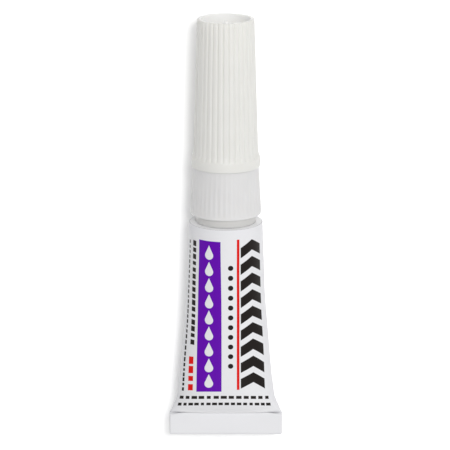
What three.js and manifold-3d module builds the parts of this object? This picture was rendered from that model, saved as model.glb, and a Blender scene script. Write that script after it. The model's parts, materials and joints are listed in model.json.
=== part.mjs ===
// Collapsible aluminium tube of gel glue with a screw-on nozzle and a piercing cap.
// Millimetres. The pieces are built upright in the tube's own frame: +Z runs along the tube from the
// folded tail to the cap, and the printed front faces -Y. The finished group lies on its back on
// z = 0 with the front up and the cap toward +Y, and its origin is under the middle of its box.

import * as THREE from 'three';
import { mergeVertices } from 'three/addons/utils/BufferGeometryUtils.js';
import Module from 'manifold-3d';

// Tube: drawn aluminium, belly flattened toward a tail that is folded twice
const tubeDiameter = 11;
const bodyLength = 30.1;
const tubeWall = 0.11;
const shoulderCorner = 0.2;
const neckDiameter = 6.4;
const neckHeight = 4.4;
const neckWall = 0.8;
const membraneThickness = 0.15;
const membraneLap = 0.3;
const foldHeight = 3.4;
const foldGap = 0.06;
const foldTuck = 0.5;
const sealFilm = 0.06;

// Outline of the flattened belly: shares of the whole widening, and the length of the last flare
const bellyTaper = 0.22;
const bellyCurve = 0.5;
const flareLength = 2.6;
const restSpan = 8;

// Nozzle: ribbed skirt on a narrower foot, threaded boss, tapered tip
const footHeight = 1.13;
const footWall = 1.03;
const skirtHeight = 7.2;
const skirtLip = 0.72;
const skirtDraft = 0.3;
const skirtRound = 0.4;
const skirtRibCount = 42;
const skirtRibDepth = 0.07;
const bossDiameter = 7.6;
const bossHeight = 3.8;
const bossChamfer = 0.4;
const tipLength = 11.4;
const tipBaseDiameter = 5;
const tipEndDiameter = 2.3;
const boreBaseDiameter = 3.2;
const boreEndDiameter = 1.3;

// Cap: fluted, with a plain collar, a recess with a piercing spike on top and a sealing pin inside
const collarHeight = 1.65;
const collarProud = 0.27;
const collarRound = 0.3;
const fluteCount = 34;
const fluteDepth = 0.17;
const fluteRunout = 0.6;
const capWall = 0.6;
const rimWall = 0.4;
const rimChamfer = 0.25;
const recessDepth = 5.5;
const recessDraft = 0.18;
const partition = 1;
const spikeShaftDiameter = 2.6;
const spikeConeLength = 2.7;
const spikePointDiameter = 0.2;
const spikeBelowRim = 0.2;
const pinDiameter = 0.8;
const pinReach = 1.2;

// Clearances
const threadClearance = 0.25;
const seatGap = 0.12;
const tipGap = 0.45;
const gelGap = 0.15;
const filmGap = 0.02;

// Facets, and how far joined features sink into each other
const tubeSegments = 48;
const turnedSegments = 48;
const arcSteps = 6;
const flareSteps = 6;
const bellySteps = 6;
const weld = 0.3;

// Groove section across one pitch, as [share of the pitch, share of the depth]
const groove = [[0, 0], [0.5, 0], [0.68, 1], [0.82, 1]];

// Sizes that follow
const bodyRadius = (tubeDiameter - tubeWall) / 2;
const sealSlit = sealFilm + 2 * filmGap;
const sheetHalf = sealSlit / 2 + tubeWall;
const foldPitch = 2 * sheetHalf + foldGap;
const flatEdge = (sealSlit + tubeWall) / 2;
const flatHalfWidth = (Math.PI / 2) * bodyRadius - (Math.PI / 2 - 1) * flatEdge;
const shoulder = foldHeight + bodyLength;
const shoulderStart = shoulder - shoulderCorner;
const neckRadius = neckDiameter / 2;
const neckBore = neckRadius - neckWall;
const neckTop = shoulder + neckHeight;
const membraneSeat = neckTop - membraneThickness - filmGap;

const socketRadius = neckRadius + threadClearance;
const footRadius = socketRadius + footWall;
const skirtRadius = footRadius + skirtLip;
const bossRadius = bossDiameter / 2;
const footBottom = shoulder + seatGap;
const skirtBottom = footBottom + footHeight;
const skirtTop = skirtBottom + skirtHeight;
const socketTop = neckTop + seatGap;
const bossTop = skirtTop + bossHeight;
const tipEnd = bossTop + tipLength;

const capMouth = skirtTop + seatGap;
const mouthRadius = bossRadius + threadClearance;
const mouthTop = bossTop + threadClearance;
const cavityTop = tipEnd + tipGap;
const recessFloor = cavityTop + partition;
const capTop = recessFloor + recessDepth;
const collarTop = capMouth + collarHeight;
const recessFloorRadius = neckRadius + threadClearance;
const recessRimRadius = recessFloorRadius + recessDraft;
const crestBase = mouthRadius + capWall + fluteDepth;
const crestRim = recessRimRadius + rimWall + fluteDepth;

const wasm = await Module();
wasm.setup();

// Solids and shapes

function toSolid(geometry) {
  geometry.deleteAttribute('normal');
  geometry.deleteAttribute('uv');
  const merged = mergeVertices(geometry);
  const mesh = new wasm.Mesh({
    numProp: 3,
    vertProperties: merged.attributes.position.array,
    triVerts: merged.index.array,
  });
  return new wasm.Manifold(mesh);
}

function toMesh(name, solid, material) {
  const { vertProperties, triVerts } = solid.getMesh();
  const geometry = new THREE.BufferGeometry();
  geometry.setAttribute('position', new THREE.BufferAttribute(vertProperties, 3));
  geometry.setIndex(new THREE.BufferAttribute(triVerts, 1));
  const mesh = new THREE.Mesh(geometry, material);
  mesh.name = name;
  return mesh;
}

// Skins a stack of rings, each turning the same way and the next one higher, and closes both ends
function loft(rings) {
  const count = rings[0].length;
  const points = rings.flat();
  const index = [];
  for (let ring = 0; ring + 1 < rings.length; ring += 1) {
    for (let i = 0; i < count; i += 1) {
      const a = ring * count + i;
      const b = ring * count + ((i + 1) % count);
      index.push(a, b, b + count, a, b + count, a + count);
    }
  }
  const last = (rings.length - 1) * count;
  const lowCentre = points.push(ringCentre(rings[0])) - 1;
  const highCentre = points.push(ringCentre(rings.at(-1))) - 1;
  for (let i = 0; i < count; i += 1) {
    const next = (i + 1) % count;
    index.push(lowCentre, next, i);
    index.push(highCentre, last + i, last + next);
  }
  const geometry = new THREE.BufferGeometry().setFromPoints(points);
  geometry.setIndex(index);
  return toSolid(geometry);
}

function ringCentre(ring) {
  const sum = ring.reduce((total, point) => total.add(point), new THREE.Vector3());
  return sum.divideScalar(ring.length);
}

// A ring with a flat facet, not a corner, at its front and back
function ovalRing(halfWidth, halfDepth, z) {
  const ring = [];
  for (let i = 0; i < tubeSegments; i += 1) {
    const angle = ((i + 0.5) / tubeSegments) * 2 * Math.PI;
    ring.push(new THREE.Vector3(halfWidth * Math.cos(angle), halfDepth * Math.sin(angle), z));
  }
  return ring;
}

function groovedRing(radius, z, count, depth) {
  const ring = [];
  for (let i = 0; i < count; i += 1) {
    for (const [along, down] of groove) {
      const angle = ((i + along) / count) * 2 * Math.PI;
      const r = radius - depth * down;
      ring.push(new THREE.Vector3(r * Math.cos(angle), r * Math.sin(angle), z));
    }
  }
  return ring;
}

// Turns an outline of [radius, height] points, which starts and ends on the axis, about Z
function turned(outline) {
  const points = outline.map(([radius, height]) => new THREE.Vector2(radius, height));
  const geometry = new THREE.LatheGeometry(points, turnedSegments);
  geometry.rotateX(Math.PI / 2);
  return toSolid(geometry);
}

// Tube body

// 0 where the tube is round, 1 where it is pressed flat
function flatness(z) {
  const along = Math.min(Math.max((shoulder - z) / bodyLength, 0), 1);
  const flareStart = 1 - flareLength / bodyLength;
  const flare = Math.max(0, (along - flareStart) / (1 - flareStart));
  return bellyTaper * along + bellyCurve * along ** 2 + (1 - bellyTaper - bellyCurve) * flare;
}

// The middle of the wall; depth falls so that the distance around the tube stays about the same
function halfWidthAt(z) {
  return bodyRadius + (flatHalfWidth - bodyRadius) * flatness(z);
}

function halfDepthAt(z) {
  return Math.hypot(bodyRadius * Math.sqrt(1 - flatness(z)), flatEdge);
}

function bodyRing(z, outward) {
  return ovalRing(halfWidthAt(z) + outward, halfDepthAt(z) + outward, z);
}

// Heights of the rings from just above the fold to the shoulder, closest together in the flare
function bodyHeights() {
  const heights = [];
  for (let i = 0; i < flareSteps; i += 1) {
    heights.push(foldHeight + flareLength * (i / flareSteps) ** 2);
  }
  const bellyStart = foldHeight + flareLength;
  const bellyLength = shoulderStart - restSpan - bellyStart;
  for (let i = 0; i <= bellySteps; i += 1) {
    heights.push(bellyStart + (bellyLength * i) / bellySteps);
  }
  heights.push(shoulderStart);
  return heights;
}

function shoulderRings(cornerRadius) {
  const rings = [];
  for (let i = 1; i <= arcSteps; i += 1) {
    const angle = (i / arcSteps) * (Math.PI / 2);
    const radius = tubeDiameter / 2 - shoulderCorner + cornerRadius * Math.cos(angle);
    const z = shoulderStart + cornerRadius * Math.sin(angle);
    rings.push(ovalRing(radius, radius, z));
  }
  return rings;
}

// Section of the fold: a strip that runs down the back, up the front and tucks in between
function foldStrip(half, width, top, end) {
  const bend = foldPitch + sheetHalf;
  const roll = foldHeight - foldPitch / 2 - sheetHalf;
  const rollCentre = -1.5 * foldPitch;
  const section = new THREE.Shape();
  section.moveTo(half, top);
  section.lineTo(half, bend);
  section.absarc(-foldPitch, bend, foldPitch + half, 0, -Math.PI, true);
  section.lineTo(-2 * foldPitch - half, roll);
  section.absarc(rollCentre, roll, foldPitch / 2 + half, Math.PI, 0, true);
  section.lineTo(half - foldPitch, end);
  section.lineTo(-half - foldPitch, end);
  section.lineTo(-half - foldPitch, roll);
  section.absarc(rollCentre, roll, foldPitch / 2 - half, 0, Math.PI, false);
  section.lineTo(half - 2 * foldPitch, bend);
  section.absarc(-foldPitch, bend, foldPitch - half, Math.PI, 2 * Math.PI, false);
  section.lineTo(-half, top);
  const options = { depth: width, bevelEnabled: false, curveSegments: arcSteps };
  const geometry = new THREE.ExtrudeGeometry(section, options);
  geometry.translate(0, 0, -width / 2);
  const axes = [new THREE.Vector3(0, 1, 0), new THREE.Vector3(0, 0, 1), new THREE.Vector3(1, 0, 0)];
  geometry.applyMatrix4(new THREE.Matrix4().makeBasis(...axes));
  return toSolid(geometry);
}

const tuckEnd = 2 * sheetHalf + foldTuck;
const foldWidth = 2 * flatHalfWidth + tubeWall;
const slitWidth = foldWidth - 4 * tubeWall;

function tubeShell() {
  const half = tubeWall / 2;
  const outerRings = [ovalRing(flatHalfWidth + half, sheetHalf, foldHeight - weld)];
  outerRings.push(...bodyHeights().map((z) => bodyRing(z, half)));
  outerRings.push(...shoulderRings(shoulderCorner));
  outerRings.push(ovalRing(neckRadius, neckRadius, shoulder));
  outerRings.push(ovalRing(neckRadius, neckRadius, neckTop));

  const cavityRings = [ovalRing(flatHalfWidth - half, sealSlit / 2, foldHeight - 2 * weld)];
  cavityRings.push(...bodyHeights().map((z) => bodyRing(z, -half)));
  cavityRings.push(...shoulderRings(shoulderCorner - tubeWall));
  cavityRings.push(ovalRing(neckBore, neckBore, shoulder - tubeWall));
  cavityRings.push(ovalRing(neckBore, neckBore, membraneSeat));
  cavityRings.push(ovalRing(neckBore + membraneLap, neckBore + membraneLap, membraneSeat));
  cavityRings.push(ovalRing(neckBore + membraneLap, neckBore + membraneLap, neckTop + weld));

  const sheet = foldStrip(sheetHalf, foldWidth, foldHeight, tuckEnd);
  const slit = foldStrip(sealSlit / 2, slitWidth, foldHeight - weld, tuckEnd - weld);
  return loft(outerRings).add(sheet).subtract(loft(cavityRings)).subtract(slit);
}

function neckMembrane() {
  const radius = neckBore + membraneLap - filmGap;
  const bottom = neckTop - membraneThickness;
  return loft([ovalRing(radius, radius, bottom), ovalRing(radius, radius, neckTop)]);
}

function glueGel() {
  const inset = tubeWall / 2 + gelGap;
  const tail = foldHeight + flareLength / flareSteps;
  const heights = [tail, ...bodyHeights().filter((z) => z > tail && z < shoulderStart)];
  const rings = heights.map((z) => bodyRing(z, -inset));
  const topRadius = tubeDiameter / 2 - tubeWall - gelGap;
  const bodyTop = shoulder - tubeWall - gelGap;
  const cornerRadius = shoulderCorner - tubeWall;
  rings.push(ovalRing(topRadius, topRadius, shoulderStart - gelGap));
  rings.push(ovalRing(topRadius - cornerRadius, topRadius - cornerRadius, bodyTop));
  rings.push(ovalRing(neckBore - gelGap, neckBore - gelGap, bodyTop));
  rings.push(ovalRing(neckBore - gelGap, neckBore - gelGap, membraneSeat - gelGap));
  return loft(rings);
}

function endSeal() {
  const width = slitWidth - 2 * filmGap;
  return foldStrip(sealFilm / 2, width, foldHeight - weld - filmGap, tuckEnd + filmGap);
}

// Nozzle

function skirtRings() {
  const rings = [];
  for (let i = 0; i <= arcSteps / 2; i += 1) {
    const angle = (i / (arcSteps / 2)) * (Math.PI / 2);
    const radius = skirtRadius - skirtRound + skirtRound * Math.sin(angle);
    const z = skirtBottom + skirtRound - skirtRound * Math.cos(angle);
    rings.push(groovedRing(radius, z, skirtRibCount, skirtRibDepth * Math.sin(angle)));
  }
  rings.push(groovedRing(skirtRadius - skirtDraft, skirtTop, skirtRibCount, skirtRibDepth / 2));
  return rings;
}

function nozzle() {
  const core = turned([
    [0, footBottom],
    [footRadius, footBottom],
    [footRadius, skirtTop - weld],
    [bossRadius, skirtTop - weld],
    [bossRadius, bossTop - bossChamfer],
    [bossRadius - bossChamfer, bossTop],
    [tipBaseDiameter / 2, bossTop],
    [tipEndDiameter / 2, tipEnd],
    [0, tipEnd],
  ]);
  const bore = turned([
    [0, footBottom - weld],
    [socketRadius, footBottom - weld],
    [socketRadius, socketTop],
    [boreBaseDiameter / 2, socketTop],
    [boreEndDiameter / 2, tipEnd],
    [boreEndDiameter / 2, tipEnd + weld],
    [0, tipEnd + weld],
  ]);
  return loft(skirtRings()).add(core).subtract(bore);
}

// Cap

// Radius of the flutes' crests, which falls evenly from the collar to the rim
function crestAt(z) {
  const along = (z - collarTop) / (capTop - collarTop);
  return crestBase + (crestRim - crestBase) * along;
}

function capRings() {
  const collarRadius = crestBase + collarProud;
  const runout = collarTop + fluteRunout;
  const rimStart = capTop - rimChamfer;
  return [
    groovedRing(collarRadius - collarRound, capMouth, fluteCount, 0),
    groovedRing(collarRadius, capMouth + collarRound, fluteCount, 0),
    groovedRing(collarRadius, collarTop - collarRound, fluteCount, 0),
    groovedRing(crestBase, collarTop, fluteCount, 0),
    groovedRing(crestAt(runout), runout, fluteCount, fluteDepth),
    groovedRing(crestAt(rimStart), rimStart, fluteCount, fluteDepth),
    groovedRing(crestRim - fluteDepth, capTop, fluteCount, 0),
  ];
}

function capCavity() {
  const cavityRadiusAt = (z) => crestAt(z) - fluteDepth - capWall;
  return turned([
    [0, capMouth - weld],
    [mouthRadius, capMouth - weld],
    [mouthRadius, mouthTop],
    [cavityRadiusAt(mouthTop), mouthTop],
    [cavityRadiusAt(cavityTop), cavityTop],
    [0, cavityTop],
  ]);
}

function capRecess() {
  return turned([
    [0, recessFloor],
    [recessFloorRadius, recessFloor],
    [recessRimRadius, capTop],
    [recessRimRadius, capTop + weld],
    [0, capTop + weld],
  ]);
}

function piercingSpike() {
  const point = capTop - spikeBelowRim;
  return turned([
    [0, recessFloor - weld],
    [spikeShaftDiameter / 2, recessFloor - weld],
    [spikeShaftDiameter / 2, point - spikeConeLength],
    [spikePointDiameter / 2, point],
    [0, point],
  ]);
}

function sealingPin() {
  return turned([
    [0, tipEnd - pinReach],
    [pinDiameter / 2, tipEnd - pinReach],
    [pinDiameter / 2, cavityTop + weld],
    [0, cavityTop + weld],
  ]);
}

function cap() {
  const body = loft(capRings()).subtract(capCavity()).subtract(capRecess());
  return body.add(piercingSpike()).add(sealingPin());
}

// Materials

function finish(color, roughness, metalness) {
  return new THREE.MeshStandardMaterial({ color, roughness, metalness });
}

const enamelledAluminium = finish(0xe5e5e7, 0.3, 0.1);
const bareAluminium = finish(0xb9bcc0, 0.35, 0.9);
const clearGel = finish(0xe8e6dc, 0.15, 0);
const sealingCompound = finish(0xd9c9a0, 0.7, 0);
const naturalPlastic = finish(0xdcdbdb, 0.45, 0);
const whitePlastic = finish(0xe4e3df, 0.45, 0);

// Lies on the flat of its back between the belly and the shoulder
function restTilt() {
  const backAt = (z) => (halfDepthAt(z) + tubeWall / 2) * Math.cos(Math.PI / tubeSegments);
  const belly = shoulderStart - restSpan;
  return Math.atan2(backAt(shoulderStart) - backAt(belly), restSpan);
}

const laidTube = new THREE.Group();
laidTube.add(toMesh('tube_shell', tubeShell(), enamelledAluminium));
laidTube.add(toMesh('neck_membrane', neckMembrane(), bareAluminium));
laidTube.add(toMesh('glue_gel', glueGel(), clearGel));
laidTube.add(toMesh('end_seal', endSeal(), sealingCompound));
laidTube.add(toMesh('nozzle', nozzle(), naturalPlastic));
laidTube.add(toMesh('cap', cap(), whitePlastic));
laidTube.rotation.x = restTilt() - Math.PI / 2;

const gelGlueTube = new THREE.Group();
gelGlueTube.add(laidTube);
const box = new THREE.Box3().setFromObject(gelGlueTube, true);
const middle = box.getCenter(new THREE.Vector3());
laidTube.position.set(-middle.x, -middle.y, -box.min.z);

export default gelGlueTube;
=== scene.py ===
"""A tube of gel glue lying on its back: the looks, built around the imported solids.

Pieces are drawn upright in the tube's own frame, in millimetres: +Z runs along the tube from the
folded tail to the cap, and the printed front faces -Y. PLACE lays them where the solids are.
"""

import json
import math

import bpy
import numpy as np
from mathutils import Matrix, Vector


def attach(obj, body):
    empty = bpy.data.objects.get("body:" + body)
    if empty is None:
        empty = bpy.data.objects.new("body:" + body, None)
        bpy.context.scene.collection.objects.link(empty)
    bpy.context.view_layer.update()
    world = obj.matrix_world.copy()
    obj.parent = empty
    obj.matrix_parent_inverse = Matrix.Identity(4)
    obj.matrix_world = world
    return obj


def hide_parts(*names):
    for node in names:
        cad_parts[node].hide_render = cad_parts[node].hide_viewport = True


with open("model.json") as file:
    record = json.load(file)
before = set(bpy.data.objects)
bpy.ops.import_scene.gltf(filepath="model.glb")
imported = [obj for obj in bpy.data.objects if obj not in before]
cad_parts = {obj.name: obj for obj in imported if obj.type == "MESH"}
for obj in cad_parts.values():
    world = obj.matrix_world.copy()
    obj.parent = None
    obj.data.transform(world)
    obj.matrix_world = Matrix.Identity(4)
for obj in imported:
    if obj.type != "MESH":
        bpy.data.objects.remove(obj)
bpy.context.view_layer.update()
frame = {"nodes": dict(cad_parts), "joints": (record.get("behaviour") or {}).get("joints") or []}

MM = 0.001
TURN = 2 * math.pi


# Where the tube lies

def tube_placement():
    """Matrix from the tube's own frame, in millimetres, to the row frame, in metres."""
    axis = Vector(frame["joints"][0]["axis"]).normalized()
    across = Vector((1, 0, 0))
    back = axis.cross(across)
    cap = [v.co for v in frame["nodes"]["cap"].data.vertices]
    shell = [v.co for v in frame["nodes"]["tube_shell"].data.vertices]
    offsets = [co.dot(back) for co in cap]
    middle = (min(offsets) + max(offsets)) / 2
    tail = min(co.dot(axis) for co in shell)
    turned = Matrix((across, back, axis)).transposed().to_4x4()
    return Matrix.Translation(back * middle + axis * tail) @ turned @ Matrix.Scale(MM, 4)


PLACE = tube_placement()


def own_points(node):
    """A solid's corners in the tube's own frame, in millimetres."""
    home = PLACE.inverted()
    return np.array([home @ v.co for v in frame["nodes"][node].data.vertices])


def along(node):
    """Lowest and highest place of a solid along the tube."""
    heights = own_points(node)[:, 2]
    return heights.min(), heights.max()


def reach(node):
    """Largest radius of a solid about the tube's axis."""
    return np.hypot(*own_points(node)[:, :2].T).max()


# Sizes read from the solids
FOOT_BOTTOM, TIP_END = along("nozzle")
CAP_MOUTH, CAP_TOP = along("cap")
NECK_TOP = along("tube_shell")[1]
FOLD_HALF_WIDTH = own_points("tube_shell")[:, 0].max()
SKIRT_RADIUS = reach("nozzle")
COLLAR_RADIUS = reach("cap")

# The gap that the solids leave at each seat
SEAT_GAP = 0.12
SHOULDER = FOOT_BOTTOM - SEAT_GAP
SKIRT_TOP = CAP_MOUTH - SEAT_GAP

# Screwed home, the visible edges of the mouldings all but touch what they sit on
CLOSE_GAP = 0.02
FOOT_SEAT = SHOULDER + CLOSE_GAP
MOUTH_SEAT = SKIRT_TOP + CLOSE_GAP

# Tube
TUBE_RADIUS = 5.5
TUBE_WALL = 0.11
SHOULDER_CORNER = 0.16
SHOULDER_RUN = 0.8
NECK_RADIUS = 3.2
NECK_BORE = 2.4
MEMBRANE_RADIUS = 2.68
MEMBRANE_SEAT = 2.7
MEMBRANE_THICKNESS = 0.15
MEMBRANE_RIM = 0.48
MEMBRANE_SLOPE = 0.24
MEMBRANE_DISH = 0.04

# Folded tail: three layers of the pressed tube, with their middles FOLD_PITCH apart
FOLD_HEIGHT = 3.4
SHEET_HALF = 0.16
FOLD_PITCH = 0.38
FOLD_FRONT = 2 * FOLD_PITCH + SHEET_HALF
FOLD_END = 0.82
BEND_HEIGHT = FOLD_PITCH + SHEET_HALF
ROLL = FOLD_PITCH / 2
ROLL_HEIGHT = FOLD_HEIGHT - ROLL - SHEET_HALF

# The roll's lift against the belly, and half the width over which it is full
FOLD_LIFT = 0.4
FOLD_LIFT_FULL = 6

# Toward the sides the oval belly drops away, and the lift grows until the oval's square is this small
OVAL_LEAST = 0.16

# Belly: its even taper and its curve toward the fold, as shares of full flatness, and its last flare
BELLY_OVERLAP = 0.05
BELLY_START = FOLD_HEIGHT - BELLY_OVERLAP
BELLY_TAPER = 0.22
BELLY_CURVE = 0.5
FLARE_LENGTH = 2.6
FLARE_EASE = 0.2
PRESS_RUN = SHEET_HALF / 3

# Dents: their depth, and each wave's count round the tube, turn per millimetre along it and start
DENT = 0.035
DENT_WAVES = ((2, 0.35, 0.4), (3, -0.5, 1.9))
DENT_RISE = (FOLD_HEIGHT + 1, FOLD_HEIGHT + 6)
DENT_CALM = (SHOULDER - 9, SHOULDER - 2)

# Nozzle
FOOT_RADIUS = 4.48
FOOT_HEIGHT = 1.13
SKIRT_BOTTOM = FOOT_BOTTOM + FOOT_HEIGHT
SKIRT_DRAFT = 0.3
SKIRT_FLARE = 0.1
SKIRT_ROUND = 0.4
SKIRT_RIBS = 42
SKIRT_RIB_DEPTH = 0.07
SKIRT_RIB_FADE = 0.6
RIB_RISE = (SKIRT_BOTTOM + SKIRT_ROUND / 3, SKIRT_BOTTOM + 3 * SKIRT_ROUND)
RIB_FADE = (SKIRT_BOTTOM + 2, SKIRT_TOP - 1)
SOCKET_RADIUS = 3.53
SOCKET_TOP = NECK_TOP + SEAT_GAP
BOSS_RADIUS = 3.8
BOSS_HEIGHT = 3.8
BOSS_TOP = SKIRT_TOP + BOSS_HEIGHT
TIP_BASE_RADIUS = 2.5
TIP_END_RADIUS = 1.15
BORE_BASE_RADIUS = 1.6
BORE_END_RADIUS = 0.65

# Cap
COLLAR_HEIGHT = 1.65
COLLAR_TOP = CAP_MOUTH + COLLAR_HEIGHT
COLLAR_SLOPE = 0.7
CREST_BASE = 4.82
CREST_RIM = 4.2
FLUTES = 34
FLUTE_DEPTH = 0.11
FLUTE_HALF_WIDTH = 0.24
FLUTE_END = COLLAR_TOP - COLLAR_SLOPE / 2
FLUTE_FULL = COLLAR_TOP + 1
MOUTH_RADIUS = 4.13
TIP_ROOM = 0.45
CAVITY_TOP = TIP_END + TIP_ROOM
CAVITY_TOP_RADIUS = 3.6
RECESS_RIM_RADIUS = 3.63
RECESS_FLOOR_RADIUS = 3.45
RECESS_DEPTH = 5.5
RECESS_FLOOR = CAP_TOP - RECESS_DEPTH
SPIKE_RADIUS = 1.3
SPIKE_CONE = 2.7
SPIKE_DROP = 0.2
SPIKE_TOP = CAP_TOP - SPIKE_DROP
PIN_RADIUS = 0.4
PIN_REACH = 1.2

# Threads: rounded ridges, with room left between the mating crests
THREAD_PITCH = 1.3
THREAD_HEIGHT = 0.16

# Shares of the pitch at which a ridge and its crest start
RIDGE_START = 0.1
RIDGE_CREST = 0.4

# Corners of turned mouldings, and the blunt end left at a point
EDGE = 0.08
POINT = 0.06

# Longest face along each outline
SHOULDER_STEP = 0.2
NECK_STEP = 0.4
MEMBRANE_STEP = 0.3
THREAD_STEP = 0.1
SKIRT_STEP = 0.25
TIP_STEP = 0.6
CAVITY_STEP = 0.8
COLLAR_STEP = 0.1
CREST_STEP = 2
RECESS_STEP = 0.5

# Points in a rounded corner, and the share of the shorter stretch beside it that it may take
CORNER_POINTS = 6
CORNER_ROOM = 0.49


# Mesh building

def smooth_step(low, high, value):
    share = np.clip((value - low) / (high - low), 0, 1)
    return share * share * (3 - 2 * share)


def outline(step, *corners):
    """Points along a turned outline of (radius, height, rounding) corners. Rounded corners become
    curves, and straight stretches are cut to at most step."""
    spots = [np.array(corner[:2]) for corner in corners]
    points = [spots[0]]
    for before, at, after, corner in zip(spots, spots[1:], spots[2:], corners[1:]):
        to_before = before - at
        to_after = after - at
        room = min(np.linalg.norm(to_before), np.linalg.norm(to_after)) * CORNER_ROOM
        size = min(corner[2], room)
        start = at + to_before / np.linalg.norm(to_before) * size
        end = at + to_after / np.linalg.norm(to_after) * size
        for share in np.linspace(0, 1, CORNER_POINTS):
            rest = 1 - share
            points.append(rest**2 * start + 2 * rest * share * at + share**2 * end)
    points.append(spots[-1])
    cut = [points[0]]
    for a, b in zip(points, points[1:]):
        pieces = math.ceil(np.linalg.norm(b - a) / step)
        cut.extend(a + (b - a) * i / pieces for i in range(1, pieces + 1))
    return np.array(cut)


def turned_rows(points, columns, relief=None):
    """Rings of a turned outline, each starting at the back. relief(height, angle) is added to the
    radius."""
    angle = np.arange(columns) / columns * TURN
    radius = np.repeat(points[:, :1], columns, axis=1)
    height = np.repeat(points[:, 1:], columns, axis=1)
    if relief:
        radius = radius + relief(height, angle)
    return np.stack([-radius * np.sin(angle), radius * np.cos(angle), height], axis=2)


def stacked(*stretches):
    """Rings of several stretches, each of which starts where the one before it ends."""
    return np.concatenate([stretches[0], *(rows[1:] for rows in stretches[1:])])


def skin(name, rows, loop=False, uv=None):
    """A closed mesh over stacked rings. Its ends are closed by fans, or joined where loop is true.
    uv gives the places on the printed sheet, with one more column than the rings have."""
    count, columns = rows.shape[:2]
    points = rows.reshape(-1, 3).tolist()
    faces = []
    spots = []
    for i in range(count if loop else count - 1):
        above = (i + 1) % count
        for j in range(columns):
            k = (j + 1) % columns
            low, high = i * columns, above * columns
            faces.append((low + j, low + k, high + k, high + j))
            if uv is not None:
                spots.extend((uv[i, j], uv[i, j + 1], uv[above, j + 1], uv[above, j]))
    if not loop:
        for ring, step in ((0, -1), (count - 1, 1)):
            centre = len(points)
            points.append(rows[ring].mean(axis=0).tolist())
            edge = [ring * columns + j for j in range(columns)][::step]
            faces.extend((centre, a, b) for a, b in zip(edge, edge[1:] + edge[:1]))
    mesh = bpy.data.meshes.new(name)
    mesh.from_pydata(points, [], faces)
    if uv is not None:
        sheet = mesh.uv_layers.new(name="printed_sheet")
        sheet.uv.foreach_set("vector", np.array(spots, np.float32).ravel())
    mesh.transform(PLACE)
    mesh.shade_smooth()
    piece = bpy.data.objects.new(name, mesh)
    bpy.context.scene.collection.objects.link(piece)
    return piece


def thread(low, high, height_of_ridge):
    """Relief of a helical ridge between two heights, fading out at both. A negative ridge points
    inwards."""
    def relief(height, angle):
        phase = ((height - low) / THREAD_PITCH - angle / TURN) % 1
        rise = smooth_step(RIDGE_START, RIDGE_CREST, phase)
        fall = smooth_step(1 - RIDGE_CREST, 1 - RIDGE_START, phase)
        fade_in = smooth_step(low, low + THREAD_PITCH / 2, height)
        fade_out = 1 - smooth_step(high - THREAD_PITCH / 2, high, height)
        return height_of_ridge * rise * (1 - fall) * fade_in * fade_out
    return relief


# Tube shell

TUBE_COLUMNS = 192
SECTION_SAMPLES = 3000
BODY_ROWS = 90
ROW_CROWDING = 1.8
FOLD_EDGE_POINTS = 24
FOLD_TURN_POINTS = 13
FOLD_LAYER_POINTS = 8
FOLD_FRONT_POINTS = 16
MEMBRANE_COLUMNS = 96
PRINT_WIDTH = TURN * TUBE_RADIUS


def flatness(z):
    """0 where the tube is round, 1 where it is pressed flat."""
    share = np.clip((SHOULDER - z) / (SHOULDER - BELLY_START), 0, 1)
    into = 1 - (z - BELLY_START) / FLARE_LENGTH
    flare = (into + np.hypot(into, FLARE_EASE)) / (1 + math.hypot(1, FLARE_EASE))
    flare = np.clip(flare, 0, 1) * smooth_step(SHOULDER, SHOULDER - 4 * FLARE_LENGTH, z)
    return BELLY_TAPER * share + BELLY_CURVE * share**2 + (1 - BELLY_TAPER - BELLY_CURVE) * flare


def even_ring(x, y):
    """TUBE_COLUMNS points evenly spaced along a closed outline that starts at the back."""
    x = np.append(x, x[0])
    y = np.append(y, y[0])
    length = np.concatenate([[0], np.cumsum(np.hypot(np.diff(x), np.diff(y)))])
    at = np.arange(TUBE_COLUMNS) / TUBE_COLUMNS * length[-1]
    return np.interp(at, length, x), np.interp(at, length, y)


def flat_ring(inset):
    """Section of the pressed tail, drawn in from its outside by inset."""
    half = SHEET_HALF - inset
    edge = FOLD_HALF_WIDTH - SHEET_HALF
    bend = np.linspace(TURN / 4, -TURN / 4, FOLD_EDGE_POINTS)
    x = edge + half * np.cos(bend)
    y = half * np.sin(bend)
    return even_ring(np.concatenate([[0], -x, x[::-1]]), np.concatenate([[half], y, y[::-1]]))


def body_ring(z, inset):
    """Section of the belly at a height: an oval that turns into the pressed tail."""
    flat = flatness(z)
    half_width = TUBE_RADIUS + (FOLD_HALF_WIDTH - TUBE_RADIUS) * flat - inset
    half_depth = math.hypot(TUBE_RADIUS * math.sqrt(1 - flat), SHEET_HALF) - inset
    angle = np.arange(SECTION_SAMPLES) / SECTION_SAMPLES * TURN
    round_x, round_y = even_ring(-half_width * np.sin(angle), half_depth * np.cos(angle))
    flat_x, flat_y = flat_ring(inset)
    pressed = 1 - smooth_step(BELLY_START, BELLY_START + PRESS_RUN, z)
    x = round_x + (flat_x - round_x) * pressed
    y = round_y + (flat_y - round_y) * pressed
    return np.stack([x, y, np.full_like(x, z)], axis=1)


def body_rows(inset):
    """Rings of the belly, which crowd toward the fold."""
    share = np.linspace(0, 1, BODY_ROWS) ** ROW_CROWDING
    heights = BELLY_START + (SHOULDER - SHOULDER_RUN - BELLY_START) * share
    return np.array([body_ring(z, inset) for z in heights])


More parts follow.
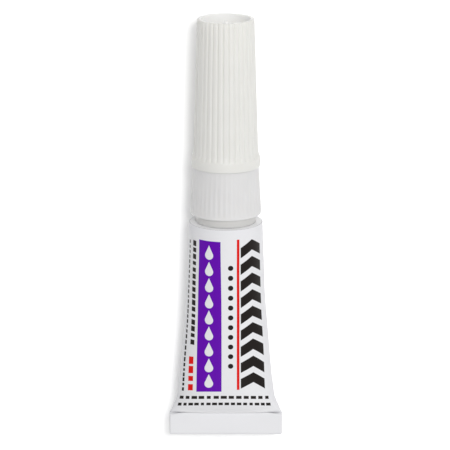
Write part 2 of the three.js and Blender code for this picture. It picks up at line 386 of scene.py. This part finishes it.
def dented(rows):
    """The slight unevenness that handling leaves in the belly."""
    z = rows[:, :1, 2]
    angle = np.arange(TUBE_COLUMNS) / TUBE_COLUMNS * TURN
    waves = [np.sin(count * angle + turn * z + start) for count, turn, start in DENT_WAVES]
    inward = sum(waves) / len(waves) - 1
    rise = smooth_step(*DENT_RISE, z)
    calm = smooth_step(*DENT_CALM, z)
    size = 1 + DENT * inward * rise * (1 - calm) / TUBE_RADIUS
    return rows * np.stack([size, size, np.ones_like(size)], axis=2)


def fold_path():
    """Middle of the folded strip as (y, z, along y, along z), from its tucked end to the belly."""
    turn = np.linspace(0, TURN / 2, FOLD_TURN_POINTS)
    tucked = np.linspace(FOLD_END, ROLL_HEIGHT, FOLD_LAYER_POINTS)
    front = np.linspace(ROLL_HEIGHT, BEND_HEIGHT, FOLD_FRONT_POINTS)
    back = np.linspace(BEND_HEIGHT, BELLY_START, FOLD_LAYER_POINTS)
    path = [(-FOLD_PITCH, z, 0, 1) for z in tucked[:-1]]
    path += [(-FOLD_PITCH - ROLL + ROLL * math.cos(a), ROLL_HEIGHT + ROLL * math.sin(a),
              -math.sin(a), math.cos(a)) for a in turn]
    path += [(-2 * FOLD_PITCH, z, 0, -1) for z in front[1:-1]]
    path += [(-FOLD_PITCH - FOLD_PITCH * math.cos(a), BEND_HEIGHT - FOLD_PITCH * math.sin(a),
              math.sin(a), -math.cos(a)) for a in turn]
    path += [(0, z, 0, 1) for z in back[1:]]
    return path


def pressed_home(rows):
    """Lifts the outside of the rolled edge against the belly, except near the fold's two ends."""
    x, y, z = np.moveaxis(rows, 2, 0)
    outward = np.hypot(y + FOLD_PITCH + ROLL, np.clip(z - ROLL_HEIGHT, 0, None))
    outside = smooth_step(ROLL + SHEET_HALF - TUBE_WALL, ROLL + SHEET_HALF, outward)
    front = np.clip((-y - FOLD_FRONT / 2) / (FOLD_FRONT / 2), 0, 1) ** 3
    top = smooth_step(FOLD_HEIGHT - 3 * SHEET_HALF, FOLD_HEIGHT - SHEET_HALF, z)
    middle = 1 - smooth_step(FOLD_LIFT_FULL, FOLD_HALF_WIDTH, np.abs(x))
    oval = np.sqrt(np.clip(1 - (x / FOLD_HALF_WIDTH) ** 2, OVAL_LEAST, 1))
    return np.stack([x, y, z + FOLD_LIFT / oval * outside * front * top * middle], axis=2)


def fold_rows(inset):
    """Rings of the folded tail, from its tucked end to the belly."""
    x, depth = flat_ring(inset)
    rows = [np.stack([x, y + depth * dz, z - depth * dy], axis=1) for y, z, dy, dz in fold_path()]
    return pressed_home(np.array(rows))


def shoulder_rows():
    """Outside of the shoulder, from the belly to under the nozzle's foot."""
    points = outline(
        SHOULDER_STEP,
        (TUBE_RADIUS, SHOULDER - SHOULDER_RUN, 0),
        (TUBE_RADIUS, SHOULDER, SHOULDER_CORNER),
        (FOOT_RADIUS, SHOULDER, 0),
    )
    return turned_rows(points, TUBE_COLUMNS)


def neck_rows():
    """Outside of the neck, its mouth with the membrane's seat, and the inside of the shoulder."""
    root = NECK_RADIUS - THREAD_HEIGHT
    foot = SHOULDER + 4 * EDGE
    thread_end = NECK_TOP - 3 * EDGE
    seat = NECK_TOP - MEMBRANE_THICKNESS
    below = outline(
        NECK_STEP,
        (FOOT_RADIUS, SHOULDER, 0),
        (root, SHOULDER, 2 * EDGE),
        (root, foot, 0),
    )
    threaded = outline(THREAD_STEP, (root, foot, 0), (root, thread_end, 0))
    mouth = outline(
        NECK_STEP,
        (root, thread_end, 0),
        (root, NECK_TOP, EDGE),
        (MEMBRANE_SEAT, NECK_TOP, EDGE / 2),
        (MEMBRANE_SEAT, seat, EDGE / 2),
        (NECK_BORE, seat, EDGE / 2),
        (NECK_BORE, SHOULDER - TUBE_WALL, EDGE),
        (TUBE_RADIUS - TUBE_WALL, SHOULDER - TUBE_WALL, SHOULDER_CORNER),
        (TUBE_RADIUS - TUBE_WALL, SHOULDER - SHOULDER_RUN, 0),
    )
    ridge = thread(foot, thread_end, THREAD_HEIGHT)
    return stacked(
        turned_rows(below, TUBE_COLUMNS),
        turned_rows(threaded, TUBE_COLUMNS, ridge),
        turned_rows(mouth, TUBE_COLUMNS),
    )


def build_tube(enamel, bare):
    """Enamelled outside and bare inside. The sheet's v is the height on the belly and goes on over
    the shoulder, while the fold and the inside lie below all print."""
    fold = fold_rows(0)
    shoulder = shoulder_rows()
    outside = stacked(fold, dented(body_rows(0)), shoulder)
    inside = stacked(neck_rows(), body_rows(TUBE_WALL)[::-1], fold_rows(TUBE_WALL)[::-1])
    rows = stacked(outside, inside)
    across = (np.arange(TUBE_COLUMNS + 1) / TUBE_COLUMNS - 0.5) * PRINT_WIDTH
    up = np.full(len(rows), -PRINT_WIDTH)
    up[len(fold):len(outside)] = outside[len(fold):, 0, 2]
    up[len(outside) - len(shoulder):len(outside)] += TUBE_RADIUS - shoulder[:, 0, 1]
    uv = np.stack(np.broadcast_arrays(across[None, :], up[:, None]), axis=2)
    piece = skin("tube", rows, loop=True, uv=uv)
    piece.data.materials.append(enamel)
    piece.data.materials.append(bare)
    row_of_face = np.arange(len(piece.data.polygons)) // TUBE_COLUMNS
    slots = (row_of_face >= len(outside) - 1).astype(np.int32)
    piece.data.polygons.foreach_set("material_index", slots)
    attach(piece, "tube")
    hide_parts("tube_shell")


def build_membrane(bare):
    """The thin closed end of the neck, dished in its middle."""
    low = NECK_TOP - MEMBRANE_THICKNESS
    dish = NECK_TOP - MEMBRANE_DISH
    rim = MEMBRANE_RADIUS - MEMBRANE_RIM
    points = outline(
        MEMBRANE_STEP,
        (POINT, low, 0),
        (MEMBRANE_RADIUS, low, EDGE / 4),
        (MEMBRANE_RADIUS, NECK_TOP, EDGE / 4),
        (rim, NECK_TOP, EDGE),
        (rim - MEMBRANE_SLOPE, dish, EDGE),
        (POINT, dish, 0),
    )
    piece = skin("membrane", turned_rows(points, MEMBRANE_COLUMNS))
    piece.data.materials.append(bare)
    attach(piece, "tube")
    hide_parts("neck_membrane")


# Nozzle

NOZZLE_COLUMNS = 8 * SKIRT_RIBS


def skirt_ribs(height, angle):
    """Fine upright ribs, strongest near the skirt's lower edge."""
    wave = (1 - np.cos(angle * SKIRT_RIBS)) / 2
    rise = smooth_step(*RIB_RISE, height)
    kept = 1 - SKIRT_RIB_FADE * smooth_step(*RIB_FADE, height)
    return -SKIRT_RIB_DEPTH * wave * rise * kept * (height < SKIRT_TOP - EDGE)


def build_nozzle(plastic, foot_painted_shade_plastic):
    """The skirt on its foot, the threaded boss, the tip with its bore and the socket, in one."""
    boss_root = BOSS_RADIUS - THREAD_HEIGHT
    thread_end = BOSS_TOP - 4 * EDGE
    skirt = outline(
        SKIRT_STEP,
        (SOCKET_RADIUS, FOOT_SEAT, 0),
        (FOOT_RADIUS, FOOT_SEAT, EDGE / 2),
        (FOOT_RADIUS, SKIRT_BOTTOM, EDGE),
        (SKIRT_RADIUS + SKIRT_FLARE, SKIRT_BOTTOM, SKIRT_ROUND),
        (SKIRT_RADIUS - SKIRT_DRAFT, SKIRT_TOP, EDGE),
        (boss_root, SKIRT_TOP, 0),
    )
    boss = outline(THREAD_STEP, (boss_root, SKIRT_TOP, 0), (boss_root, thread_end, 0))
    tip = outline(
        TIP_STEP,
        (boss_root, thread_end, 0),
        (boss_root, BOSS_TOP, 3 * EDGE),
        (TIP_BASE_RADIUS, BOSS_TOP, 2 * EDGE),
        (TIP_END_RADIUS, TIP_END, 2 * EDGE),
        (BORE_END_RADIUS, TIP_END, EDGE),
        (BORE_BASE_RADIUS, SOCKET_TOP, EDGE),
        (SOCKET_RADIUS, SOCKET_TOP, 0),
    )
    socket = outline(THREAD_STEP, (SOCKET_RADIUS, SOCKET_TOP, 0), (SOCKET_RADIUS, FOOT_SEAT, 0))
    rows = stacked(
        turned_rows(skirt, NOZZLE_COLUMNS, skirt_ribs),
        turned_rows(boss, NOZZLE_COLUMNS, thread(SKIRT_TOP, thread_end, THREAD_HEIGHT)),
        turned_rows(tip, NOZZLE_COLUMNS),
        turned_rows(socket, NOZZLE_COLUMNS, thread(FOOT_SEAT, SOCKET_TOP, -THREAD_HEIGHT)),
    )
    piece = skin("nozzle_moulding", rows[:-1], loop=True)
    piece.data.materials.append(plastic)
    piece.data.materials.append(foot_painted_shade_plastic)
    # The foot's faces take the darker plastic, which is painted shade under the skirt
    foot_faces = np.count_nonzero(skirt[:, 1] < SKIRT_BOTTOM - EDGE) * NOZZLE_COLUMNS
    slots = (np.arange(len(piece.data.polygons)) < foot_faces).astype(np.int32)
    piece.data.polygons.foreach_set("material_index", slots)
    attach(piece, "nozzle")
    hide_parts("nozzle")


# Cap

CAP_COLUMNS = 14 * FLUTES


def flutes(height, angle):
    """Narrow grooves between wide ribs, with round lower ends in the collar's slope."""
    pitch = TURN * CREST_BASE / FLUTES
    aside = ((angle * FLUTES / TURN) % 1 - 0.5) * pitch
    below = np.clip(FLUTE_END + FLUTE_HALF_WIDTH - height, 0, None)
    away = np.hypot(aside, below) / FLUTE_HALF_WIDTH
    return -FLUTE_DEPTH * (1 - smooth_step(0, 1, away))


def build_cap(plastic, recess_painted_light_plastic):
    """The fluted cap with its sealing pin, threaded mouth, collar, recess and spike, in one."""
    thread_low = MOUTH_SEAT + 3 * EDGE
    thread_top = BOSS_TOP
    crest_full = np.interp(FLUTE_FULL, (COLLAR_TOP, CAP_TOP), (CREST_BASE, CREST_RIM))
    rim_middle = (CREST_RIM + RECESS_RIM_RADIUS) / 2
    cavity = outline(
        CAVITY_STEP,
        (POINT, CAVITY_TOP - PIN_REACH, 0),
        (PIN_RADIUS, CAVITY_TOP - PIN_REACH, EDGE),
        (PIN_RADIUS, CAVITY_TOP, EDGE),
        (CAVITY_TOP_RADIUS, CAVITY_TOP, 3 * EDGE),
        (MOUTH_RADIUS, thread_top, 0),
    )
    mouth = outline(THREAD_STEP, (MOUTH_RADIUS, thread_top, 0), (MOUTH_RADIUS, thread_low, 0))
    collar = outline(
        COLLAR_STEP,
        (MOUTH_RADIUS, thread_low, 0),
        (MOUTH_RADIUS, MOUTH_SEAT, 2 * EDGE),
        (COLLAR_RADIUS, MOUTH_SEAT, 2 * EDGE),
        (COLLAR_RADIUS, COLLAR_TOP - COLLAR_SLOPE / 2, COLLAR_SLOPE / 2),
        (CREST_BASE, COLLAR_TOP + COLLAR_SLOPE / 2, COLLAR_SLOPE / 2),
        (crest_full, FLUTE_FULL, 0),
    )
    crest = outline(
        CREST_STEP,
        (crest_full, FLUTE_FULL, 0),
        (CREST_RIM, CAP_TOP, 2 * EDGE),
        (rim_middle, CAP_TOP, 0),
    )
    recess = outline(
        RECESS_STEP,
        (rim_middle, CAP_TOP, 0),
        (RECESS_RIM_RADIUS, CAP_TOP, EDGE),
        (RECESS_FLOOR_RADIUS, RECESS_FLOOR, 4 * EDGE),
        (SPIKE_RADIUS, RECESS_FLOOR, 4 * EDGE),
        (SPIKE_RADIUS, SPIKE_TOP - SPIKE_CONE, 4 * EDGE),
        (POINT, SPIKE_TOP, 0),
    )
    rows = stacked(
        turned_rows(cavity, CAP_COLUMNS),
        turned_rows(mouth, CAP_COLUMNS, thread(thread_low, thread_top, -THREAD_HEIGHT)),
        turned_rows(collar, CAP_COLUMNS, flutes),
        turned_rows(crest, CAP_COLUMNS, flutes),
        turned_rows(recess, CAP_COLUMNS),
    )
    piece = skin("cap_moulding", rows)
    piece.data.materials.append(plastic)
    piece.data.materials.append(recess_painted_light_plastic)
    # The recess and spike take the paler plastic, which is painted light
    row_of_face = np.arange(len(piece.data.polygons)) // CAP_COLUMNS
    slots = (row_of_face >= len(rows) - len(recess)).astype(np.int32)
    piece.data.polygons.foreach_set("material_index", slots)
    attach(piece, "cap")
    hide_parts("cap")


# Material building

# Half the width of the soft edge between two values
SOFT = 0.025


class Field:
    """A number that varies over a surface. Arithmetic on it adds Math nodes."""

    def __init__(self, tree, socket):
        self.tree = tree
        self.socket = socket

    def math(self, operation, *others):
        return math_node(self.tree, operation, self, *others)

    def __add__(self, other):
        return self.math("ADD", other)

    def __sub__(self, other):
        return self.math("SUBTRACT", other)

    def __rsub__(self, other):
        return math_node(self.tree, "SUBTRACT", other, self)

    def __mul__(self, other):
        return self.math("MULTIPLY", other)

    def __truediv__(self, other):
        return self.math("DIVIDE", other)

    def step(self, low, high):
        """0 below low, 1 above high, and smooth between."""
        node = self.tree.nodes.new("ShaderNodeMapRange")
        node.interpolation_type = "SMOOTHSTEP"
        feed(self.tree, self, node.inputs["Value"])
        node.inputs["From Min"].default_value = low
        node.inputs["From Max"].default_value = high
        return Field(self.tree, node.outputs["Result"])

    def between(self, low, high):
        """1 between two values, with a fine soft edge."""
        return self.step(low - SOFT, low + SOFT) * (1 - self.step(high - SOFT, high + SOFT))

    def spread(self, low, high):
        """A value from 0 to 1 spread from low to high."""
        return self * (high - low) + low


def feed(tree, value, slot):
    """Links a Field to a socket, or sets the socket to a number."""
    if isinstance(value, Field):
        tree.links.new(value.socket, slot)
    else:
        slot.default_value = value


def math_node(tree, operation, *values):
    node = tree.nodes.new("ShaderNodeMath")
    node.operation = operation
    for value, slot in zip(values, node.inputs):
        feed(tree, value, slot)
    return Field(tree, node.outputs[0])


def new_material(name):
    material = bpy.data.materials.new(name)
    material.use_nodes = True
    return material, material.node_tree, material.node_tree.nodes["Principled BSDF"]


def noise(tree, size, detail=2.0, stretch=(1, 1, 1)):
    """Noise from 0 to 1 with grains of about size millimetres, in the part's own frame."""
    place = tree.nodes.new("ShaderNodeTexCoord")
    mapping = tree.nodes.new("ShaderNodeMapping")
    mapping.inputs["Scale"].default_value = stretch
    node = tree.nodes.new("ShaderNodeTexNoise")
    node.inputs["Scale"].default_value = 1 / (size * MM)
    node.inputs["Detail"].default_value = detail
    tree.links.new(place.outputs["Object"], mapping.inputs["Vector"])
    tree.links.new(mapping.outputs["Vector"], node.inputs["Vector"])
    return Field(tree, node.outputs["Fac"])


def mixed(tree, share, first, second):
    """A colour between two, each given as numbers or as a socket."""
    node = tree.nodes.new("ShaderNodeMix")
    node.data_type = "RGBA"
    feed(tree, share, node.inputs["Factor"])
    for colour, name in ((first, "A_Color"), (second, "B_Color")):
        slot = next(s for s in node.inputs if s.identifier == name)
        if isinstance(colour, bpy.types.NodeSocket):
            tree.links.new(colour, slot)
        else:
            slot.default_value = (*colour, 1)
    return next(s for s in node.outputs if s.identifier == "Result_Color")


def bumped(tree, shader, height, depth):
    """Raises the surface by up to depth millimetres where height is 1."""
    node = tree.nodes.new("ShaderNodeBump")
    node.inputs["Distance"].default_value = depth * MM
    feed(tree, height, node.inputs["Height"])
    tree.links.new(node.outputs["Normal"], shader.inputs["Normal"])


# Print on the front: u runs across from the front's middle line, v up from the tail end

PURPLE = (0.122, 0.002, 0.40)
RED = (0.71, 0.008, 0.006)
BLACK = (0.012, 0.009, 0.008)
ENAMEL_PALE = (0.80, 0.80, 0.82)
ENAMEL_DULL = (0.77, 0.77, 0.79)
# Painted light: a paler enamel for the fold, the crease above it and the shoulder's face, which lie
# in shade
ENAMEL_PAINTED_LIGHT = (0.94, 0.94, 0.95)
EDGE_LINE = (0.35, 0.35, 0.36)
PRINT_LOW, PRINT_HIGH = 7.9, 31.7
PANEL_LEFT, PANEL_RIGHT = -4.35, -0.78
PANEL_MIDDLE = (PANEL_LEFT + PANEL_RIGHT) / 2
PANEL_FLARE = 0.08
CHEVRONS = 9
CHEVRON_LEFT, CHEVRON_RIGHT = 2.25, 6.2
CHEVRON_SLOPE = 0.55
DOTS = 11
DOT_MIDDLE = 0.72
DOT_RADIUS = 0.4
DOTS_LOW, DOTS_HIGH = 11.3, 28.4
DROPS = 9
DROP_BOWL = 0.66
DROP_POINT = 1.55
DROP_MARGIN = 0.5
RULE_LEFT, RULE_RIGHT = 1.65, 2.05
RULE_RISE = 0.3

# Half the height of a chevron's bar and half the length of a stroke, as shares of their pitch
CHEVRON_HALF = 0.31
STROKE_SHORT, STROKE_LONG = 0.26, 0.42

# Near the tail the rows of print are bowed, so that they look level from the front
ROW_BOW = 0.014
BOW_FULL, BOW_NONE = 11, 17

# The dark line at the enamel's edge on the shoulder
EDGE_LINE_LOW, EDGE_LINE_HIGH = SHOULDER + 0.05, SHOULDER + 0.11

# Painted light: the enamel is painted paler over the fold and just above it, where the crease lies in
# shade, but not toward the fold's two ends
PAINTED_LIGHT_RUN = 1.2
PAINTED_LIGHT_FULL, PAINTED_LIGHT_NONE = 6, 8

# The enamel's range of roughness, what ink adds to it, and how ink stands up beside the grain
ENAMEL_ROUGHNESS = (0.3, 0.42)
INK_ROUGHNESS = 0.05
INK_RISE = 0.6


def cells(run, low, high, count):
    """Place within each of count equal cells, from the cell's middle, and the cells' length."""
    pitch = (high - low) / count
    return ((run - low) / pitch).math("FRACT") * pitch - pitch / 2, pitch


def disc(x, y, radius):
    away = (x.math("POWER", 2) + y.math("POWER", 2)).math("SQRT")
    return 1 - away.step(radius - SOFT, radius + SOFT)


def dashes(tree, across, run, middle, height, low, high, count):
    """A row of short strokes whose lengths vary from one to the next."""
    place, pitch = cells(run, low, high, count)
    node = tree.nodes.new("ShaderNodeTexWhiteNoise")
    node.noise_dimensions = "1D"
    feed(tree, ((run - low) / pitch).math("FLOOR"), node.inputs["W"])
    half = Field(tree, node.outputs["Value"]).spread(STROKE_SHORT, STROKE_LONG) * pitch
    stroke = (half - place.math("ABSOLUTE")).step(-SOFT, SOFT)
    row = across.between(middle - height / 2, middle + height / 2)
    return stroke * row * run.between(low, high)


def chevrons(u, v):
    """A column of bold chevrons that point to the nozzle."""
    peak = (CHEVRON_RIGHT - CHEVRON_LEFT) / 2 * CHEVRON_SLOPE
    aside = (u - (CHEVRON_LEFT + CHEVRON_RIGHT) / 2).math("ABSOLUTE")
    run = v + aside * CHEVRON_SLOPE
    low, high = PRINT_LOW + peak, PRINT_HIGH + peak / 2
    place, pitch = cells(run, low, high, CHEVRONS)
    bar = place.between(-CHEVRON_HALF * pitch, CHEVRON_HALF * pitch)
    return bar * u.between(CHEVRON_LEFT, CHEVRON_RIGHT) * run.between(low, high)


def dots(u, v):
    """A column of small dots beside the panel."""
    place, _ = cells(v, DOTS_LOW, DOTS_HIGH, DOTS)
    return disc(u - DOT_MIDDLE, place, DOT_RADIUS) * v.between(DOTS_LOW, DOTS_HIGH)


def drops(u, v):
    """A column of white drops in the panel, their points toward the nozzle."""
    low, high = PRINT_LOW + DROP_MARGIN, PRINT_HIGH - DROP_MARGIN
    lean = math.asin(DROP_BOWL / DROP_POINT)
    place, _ = cells(v, low, high, DROPS)
    run = place + (DROP_POINT - DROP_BOWL) / 2
    aside = (u - PANEL_MIDDLE).math("ABSOLUTE")
    sides = ((DROP_POINT - run) * math.tan(lean) - aside).step(-SOFT, SOFT)
    tip = sides * run.step(0, 2 * DROP_BOWL * math.sin(lean))
    drop = disc(aside, run, DROP_BOWL).math("MAXIMUM", tip.step(0.5 - SOFT, 0.5 + SOFT))
    return drop * v.between(low, high)


def black_print(tree, u, v):
    """The chevrons and dots, two rows of strokes up the left side and two across near the tail."""
    rows = (
        dots(u, v),
        dashes(tree, u, v, middle=-5.4, height=0.8, low=15, high=31.4, count=16),
        dashes(tree, u, v, middle=-6.9, height=0.45, low=PRINT_LOW, high=31.2, count=30),
        dashes(tree, v, u, middle=6.95, height=0.5, low=-7.6, high=7, count=13),
        dashes(tree, v, u, middle=5.8, height=0.5, low=-7.6, high=7, count=16),
    )
    black = chevrons(u, v)
    for row in rows:
        black = black.math("MAXIMUM", row)
    return black


def red_print(tree, u, v):
    """A fine rule beside the chevrons, and a few short strokes at the left."""
    low, high = PRINT_LOW + RULE_RISE, PRINT_HIGH + RULE_RISE
    rule = u.between(RULE_LEFT, RULE_RIGHT) * v.between(low, high)
    strokes = dashes(tree, u, v, middle=-5.5, height=0.85, low=PRINT_LOW, high=13.6, count=4)
    return rule.math("MAXIMUM", strokes)


def panel_print(u, v):
    """A plain panel, a little narrower toward the nozzle."""
    taper = v.step((PRINT_LOW + PRINT_HIGH) / 2, PRINT_HIGH).spread(1 / (1 + PANEL_FLARE), 1)
    aside = (u - PANEL_MIDDLE) * taper
    across = aside.between(PANEL_LEFT - PANEL_MIDDLE, PANEL_RIGHT - PANEL_MIDDLE)
    return across * v.between(PRINT_LOW, PRINT_HIGH)


def enamel_material():
    """White enamel over aluminium, printed in three inks."""
    material, tree, shader = new_material("printed_enamel")
    sheet = tree.nodes.new("ShaderNodeUVMap")
    sheet.uv_map = "printed_sheet"
    parts = tree.nodes.new("ShaderNodeSeparateXYZ")
    tree.links.new(sheet.outputs["UV"], parts.inputs["Vector"])
    u = Field(tree, parts.outputs["X"])
    height = Field(tree, parts.outputs["Y"])
    v = height + u.math("POWER", 2) * (1 - height.step(BOW_FULL, BOW_NONE)) * ROW_BOW
    edge_line = height.between(EDGE_LINE_LOW, EDGE_LINE_HIGH)
    # Painted light: paler enamel over the fold, just above it and on the shoulder's face, where shade
    # falls
    low = 1 - height.step(FOLD_HEIGHT, FOLD_HEIGHT + PAINTED_LIGHT_RUN)
    bend = low * (1 - u.math("ABSOLUTE").step(PAINTED_LIGHT_FULL, PAINTED_LIGHT_NONE))
    painted_light = bend.math("MAXIMUM", height.step(SHOULDER, SHOULDER + SHOULDER_CORNER))
    purple = panel_print(u, v) * (1 - drops(u, v))
    red = red_print(tree, u, v)
    black = black_print(tree, u, v)
    ink = purple.math("MAXIMUM", red).math("MAXIMUM", black)
    colour = mixed(tree, noise(tree, size=6), ENAMEL_DULL, ENAMEL_PALE)
    colour = mixed(tree, painted_light, colour, ENAMEL_PAINTED_LIGHT)
    colour = mixed(tree, purple, colour, PURPLE)
    colour = mixed(tree, red, colour, RED)
    colour = mixed(tree, black, colour, BLACK)
    colour = mixed(tree, edge_line, colour, EDGE_LINE)
    tree.links.new(colour, shader.inputs["Base Color"])
    grain = noise(tree, size=0.35, detail=3)
    feed(tree, grain.spread(*ENAMEL_ROUGHNESS) + ink * INK_ROUGHNESS, shader.inputs["Roughness"])
    shader.inputs["Specular IOR Level"].default_value = 0.1
    bumped(tree, shader, grain + ink * INK_RISE, depth=0.006)
    return material


# Other materials, each mottled between two colours and two values of roughness

METAL_DULL, METAL_PALE = (0.62, 0.63, 0.64), (0.78, 0.79, 0.80)
NATURAL_DULL, NATURAL_PALE = (0.70, 0.695, 0.695), (0.74, 0.735, 0.735)
# Painted shade: a darker copy of the nozzle's plastic for its foot, which lies in the skirt's shadow
FOOT_PAINTED_SHADE_DULL, FOOT_PAINTED_SHADE_PALE = (0.63, 0.625, 0.61), (0.67, 0.665, 0.65)
WHITE_DULL, WHITE_PALE = (0.75, 0.745, 0.715), (0.78, 0.775, 0.745)
# Painted light: a paler copy of the cap's white plastic for its recess and spike, standing in for
# light that reaches into the recess
RECESS_PAINTED_LIGHT_DULL, RECESS_PAINTED_LIGHT_PALE = (0.92, 0.915, 0.89), (0.95, 0.945, 0.925)
GEL_DULL, GEL_PALE = (0.78, 0.77, 0.68), (0.84, 0.83, 0.76)
COMPOUND_DULL, COMPOUND_PALE = (0.62, 0.52, 0.30), (0.74, 0.64, 0.42)
METAL_ROUGHNESS = (0.28, 0.45)
PLASTIC_ROUGHNESS = (0.38, 0.52)
GEL_ROUGHNESS = (0.05, 0.15)
COMPOUND_ROUGHNESS = (0.65, 0.85)

# How deep light goes into the plastic
GLOW_DEPTH = 0.9


def aluminium_material():
    """Bare drawn aluminium with fine marks along the drawing direction."""
    material, tree, shader = new_material("bare_aluminium")
    marks = noise(tree, size=0.2, detail=3, stretch=(1, 0.1, 1))
    tree.links.new(mixed(tree, marks, METAL_DULL, METAL_PALE), shader.inputs["Base Color"])
    shader.inputs["Metallic"].default_value = 1
    feed(tree, marks.spread(*METAL_ROUGHNESS), shader.inputs["Roughness"])
    bumped(tree, shader, marks, depth=0.01)
    return material


def moulded_plastic(name, dull, pale, glow):
    """Slightly translucent moulded plastic, with the faint unevenness of the mould."""
    material, tree, shader = new_material(name)
    cloud = noise(tree, size=2.5)
    grain = noise(tree, size=0.12, detail=3)
    tree.links.new(mixed(tree, cloud, dull, pale), shader.inputs["Base Color"])
    feed(tree, grain.spread(*PLASTIC_ROUGHNESS), shader.inputs["Roughness"])
    shader.inputs["IOR"].default_value = 1.5
    shader.inputs["Subsurface Weight"].default_value = glow
    shader.inputs["Subsurface Radius"].default_value = (1, 0.97, 0.92)
    shader.inputs["Subsurface Scale"].default_value = GLOW_DEPTH * MM
    bumped(tree, shader, grain, depth=0.004)
    return material


def gel_material():
    """Clear pale gel with faint swirls."""
    material, tree, shader = new_material("gel")
    swirl = noise(tree, size=3)
    tree.links.new(mixed(tree, swirl, GEL_DULL, GEL_PALE), shader.inputs["Base Color"])
    feed(tree, swirl.spread(*GEL_ROUGHNESS), shader.inputs["Roughness"])
    shader.inputs["Transmission Weight"].default_value = 0.7
    shader.inputs["IOR"].default_value = 1.45
    bumped(tree, shader, swirl, depth=0.05)
    return material


def compound_material():
    """Dull rubbery sealing compound."""
    material, tree, shader = new_material("sealing_compound")
    grain = noise(tree, size=0.4, detail=4)
    tree.links.new(mixed(tree, grain, COMPOUND_DULL, COMPOUND_PALE), shader.inputs["Base Color"])
    feed(tree, grain.spread(*COMPOUND_ROUGHNESS), shader.inputs["Roughness"])
    bumped(tree, shader, grain, depth=0.03)
    return material


def dress_node(node, material):
    """Gives a solid that keeps its shape a new material."""
    data = frame["nodes"][node].data
    data.materials.clear()
    data.materials.append(material)


# Stage, in metres: FLOOR_WHITE is the floor's colour for bounced light, FLOOR_SEEN for the camera

FLOOR_HALF = 1.5
FLOOR_WHITE = 0.85
FLOOR_SEEN = 1.28
WORLD_LIGHT = 0.55
WORLD_TILT = 0.2
LAMP_DISTANCE = 0.8


def seen_by_camera(tree):
    """1 for rays that the camera sees, straight or in a reflection or through glass."""
    path = tree.nodes.new("ShaderNodeLightPath")
    seen = Field(tree, path.outputs["Is Camera Ray"])
    for name in ("Is Glossy Ray", "Is Transmission Ray"):
        seen = seen.math("MAXIMUM", Field(tree, path.outputs[name]))
    return seen


def build_floor():
    """A white floor that shows the tube's shadow and is white to the camera elsewhere."""
    sides = (-FLOOR_HALF, FLOOR_HALF)
    corners = [(x, y, 0) for x in sides for y in sides]
    mesh = bpy.data.meshes.new("floor")
    mesh.from_pydata(corners, [], [(0, 2, 3, 1)])
    floor = bpy.data.objects.new("floor", mesh)
    bpy.context.scene.collection.objects.link(floor)
    material, tree, shader = new_material("floor_white")
    colour = seen_by_camera(tree).spread(FLOOR_WHITE, FLOOR_SEEN)
    tree.links.new(colour.socket, shader.inputs["Base Color"])
    shader.inputs["Roughness"].default_value = 0.9
    shader.inputs["Specular IOR Level"].default_value = 0
    mesh.materials.append(material)


def build_world():
    """A white sky that lights the tube a little more from the right. The camera sees plain white."""
    world = bpy.data.worlds.new("studio")
    world.use_nodes = True
    tree = world.node_tree
    place = tree.nodes.new("ShaderNodeTexCoord")
    parts = tree.nodes.new("ShaderNodeSeparateXYZ")
    tree.links.new(place.outputs["Generated"], parts.inputs["Vector"])
    light = (Field(tree, parts.outputs["X"]) * WORLD_TILT + 1) * WORLD_LIGHT
    strength = light.math("MAXIMUM", seen_by_camera(tree))
    feed(tree, strength, tree.nodes["Background"].inputs["Strength"])
    tree.nodes["Background"].inputs["Color"].default_value = (1, 1, 1, 1)
    bpy.context.scene.world = world


def build_lamp(name, side, lean, size, watts):
    """A soft square lamp, side degrees to the right of overhead and lean degrees toward the cap."""
    lamp = bpy.data.lights.new(name, "AREA")
    lamp.shape = "SQUARE"
    lamp.size = size
    lamp.energy = watts
    holder = bpy.data.objects.new(name, lamp)
    toward = Vector((math.tan(math.radians(side)), math.tan(math.radians(lean)), 1)).normalized()
    holder.location = toward * LAMP_DISTANCE
    holder.rotation_euler = toward.to_track_quat("Z", "Y").to_euler()
    bpy.context.scene.collection.objects.link(holder)


# Camera: above the tube, leaning to the cap's side, with the cap at the top of the picture. The lean
# is in degrees, the distance and aim in metres, and the focal length and the width in pixels.

CAMERA_LEAN = 13.2
CAMERA_DISTANCE = 0.4
CAMERA_AIM = (-0.00012, 0.000623, 0.005)
CAMERA_FOCAL = 2679.1
PICTURE_WIDTH = 450


def build_camera():
    data = bpy.data.cameras.new("camera")
    data.sensor_width = 36
    data.lens = data.sensor_width * CAMERA_FOCAL / PICTURE_WIDTH
    camera = bpy.data.objects.new("camera", data)
    lean = math.radians(CAMERA_LEAN)
    right = Vector((1, 0, 0))
    back = Vector((0, math.sin(lean), math.cos(lean)))
    turned = Matrix((right, back.cross(right), back)).transposed().to_4x4()
    camera.matrix_world = Matrix.Translation(Vector(CAMERA_AIM) + back * CAMERA_DISTANCE) @ turned
    bpy.context.scene.collection.objects.link(camera)
    bpy.context.scene.camera = camera


# The part and its stage

bare_aluminium = aluminium_material()
natural_plastic = moulded_plastic("natural_plastic", NATURAL_DULL, NATURAL_PALE, glow=0.6)
foot_painted_shade_plastic = moulded_plastic("foot_painted_shade_plastic", FOOT_PAINTED_SHADE_DULL, FOOT_PAINTED_SHADE_PALE, glow=0.6)
white_plastic = moulded_plastic("white_plastic", WHITE_DULL, WHITE_PALE, glow=0.5)
recess_painted_light_plastic = moulded_plastic("recess_painted_light_white_plastic", RECESS_PAINTED_LIGHT_DULL, RECESS_PAINTED_LIGHT_PALE, glow=0.5)

build_tube(enamel_material(), bare_aluminium)
build_membrane(bare_aluminium)
build_nozzle(natural_plastic, foot_painted_shade_plastic)
build_cap(white_plastic, recess_painted_light_plastic)
dress_node("glue_gel", gel_material())
dress_node("end_seal", compound_material())
build_floor()
build_world()
build_lamp("key", side=11, lean=20, size=0.2, watts=2.5)
build_lamp("fill", side=10, lean=-45, size=0.6, watts=1.0)
build_camera()

bpy.context.scene.view_settings.view_transform = "Standard"
